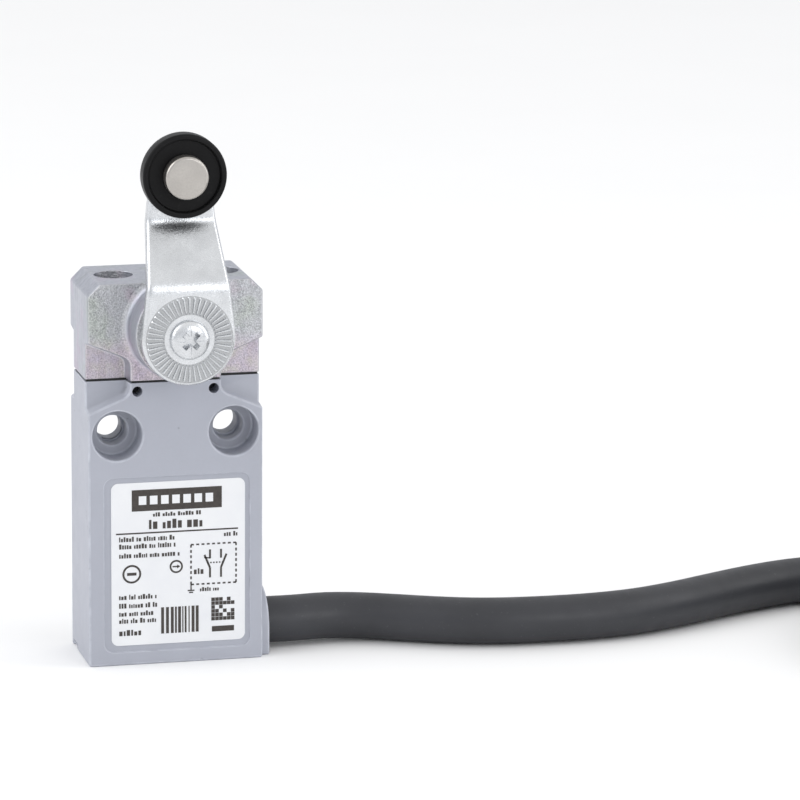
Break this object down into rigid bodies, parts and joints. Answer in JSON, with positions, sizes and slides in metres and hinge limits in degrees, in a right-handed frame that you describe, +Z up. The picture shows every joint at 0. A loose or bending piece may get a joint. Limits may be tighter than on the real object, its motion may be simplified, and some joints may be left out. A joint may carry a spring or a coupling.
{
  "type": "limit switch",
  "caption": "Compact pre-wired limit switch: flat die-cast housing with through fixing holes, a separate head, a roller lever on a side shaft, and a cable leaving one side.",
  "frame": {"origin": "centre of the housing's flat bottom face", "axes": "+Z up along the housing towards the roller, +X towards the cable side, +Y towards the back, which lies on the machine"},
  "size_m": [0.2257, 0.1014, 0.0926],
  "materials": {
    "painted_zinc": "satin light grey paint on die-cast zinc",
    "bare_zinc": "bare die-cast zinc, passivated and granular",
    "black_plastic": "moulded black nylon",
    "resin": "black potting resin",
    "label_film": null,
    "seal_rubber": "black nitrile rubber",
    "plated_steel": "bright zinc-plated steel",
    "steel": "ground steel",
    "pin_steel": "turned steel, slightly warm",
    "bronze": "sintered bronze",
    "white_plastic": "natural acetal",
    "blue_plastic": "dark blue moulded thermoset",
    "red_plastic": "dark red moulded thermoset",
    "contact_brass": "brass strip with silver tips",
    "roller_plastic": "satin black nylon",
    "cable_jacket": "satin black PVC",
    "tie_plastic": "natural nylon strap",
    "core_black": "black core insulation",
    "core_black_white": "black and white core insulation",
    "core_brown": "brown core insulation",
    "core_blue": "blue core insulation",
    "core_green_yellow": "green and yellow core insulation",
    "tinned_ferrule": "tinned copper"
  },
  "bodies": {
    "housing": {"body_casting": "painted_zinc", "bottom_plate": "black_plastic", "potting_resin": "resin", "label": "label_film", "head_casting": "bare_zinc", "head_gasket": "seal_rubber", "head_screws": "plated_steel", "shaft_bush": "bronze", "shaft_seal": "seal_rubber", "plunger_guide": "white_plastic", "guide_pins": "steel", "contact_base": "blue_plastic", "contact_cover": "white_plastic", "nc_contacts": "contact_brass", "no_contacts": "contact_brass", "earth_tab": "contact_brass", "earth_screw": "plated_steel", "cable_grommet": "seal_rubber", "cable_clamp": "black_plastic", "cable_entry": "cable_jacket", "core_black": "core_black", "core_black_white": "core_black_white", "core_brown": "core_brown", "core_blue": "core_blue", "core_green_yellow": "core_green_yellow", "cable_run": "cable_jacket", "cable_coil": "cable_jacket", "coil_tie": "tie_plastic", "tail_black": "core_black", "tail_black_white": "core_black_white", "tail_brown": "core_brown", "tail_blue": "core_blue", "tail_green_yellow": "core_green_yellow", "tail_ferrules": "tinned_ferrule"},
    "lever_arm": {"shaft": "plated_steel", "cam": "steel", "cam_pin": "steel", "shaft_clip": "steel", "lever": "plated_steel", "lever_screw": "plated_steel", "roller_washer": "plated_steel", "roller_pin": "pin_steel"},
    "roller_wheel": {"roller": "roller_plastic", "roller_bush": "bronze"},
    "plunger_stem": {"plunger": "steel", "return_spring": "steel", "contact_plunger": "white_plastic"},
    "carriage": {"contact_carriage": "red_plastic", "nc_bridge": "contact_brass", "no_bridge": "contact_brass", "carriage_spring": "steel"}
  },
  "joints": [
    {"name": "lever_turn", "type": "hinge", "parent": "housing", "child": "lever_arm", "pos_m": [0, 0, 0.0586], "axis": [0, 1, 0], "range_deg": [-70, 70], "stiffness_Nm_per_rad": 0.3},
    {"name": "roller_spin", "type": "hinge", "parent": "lever_arm", "child": "roller_wheel", "pos_m": [0, 0, 0.0855], "axis": [0, 1, 0], "continuous": true},
    {"name": "plunger_slide", "type": "slide", "parent": "housing", "child": "plunger_stem", "axis": [0, 0, -1], "range_m": [0, 0.0017], "stiffness_N_per_m": 900, "springref_m": -0.002, "deforming": ["return_spring"]},
    {"name": "carriage_slide", "type": "slide", "parent": "housing", "child": "carriage", "axis": [0, 0, -1], "range_m": [0, 0.00085], "deforming": ["carriage_spring"]}
  ],
  "couplings": [
    {"joint": "carriage_slide", "follows": "plunger_slide", "ratio": 0.5}
  ]
}
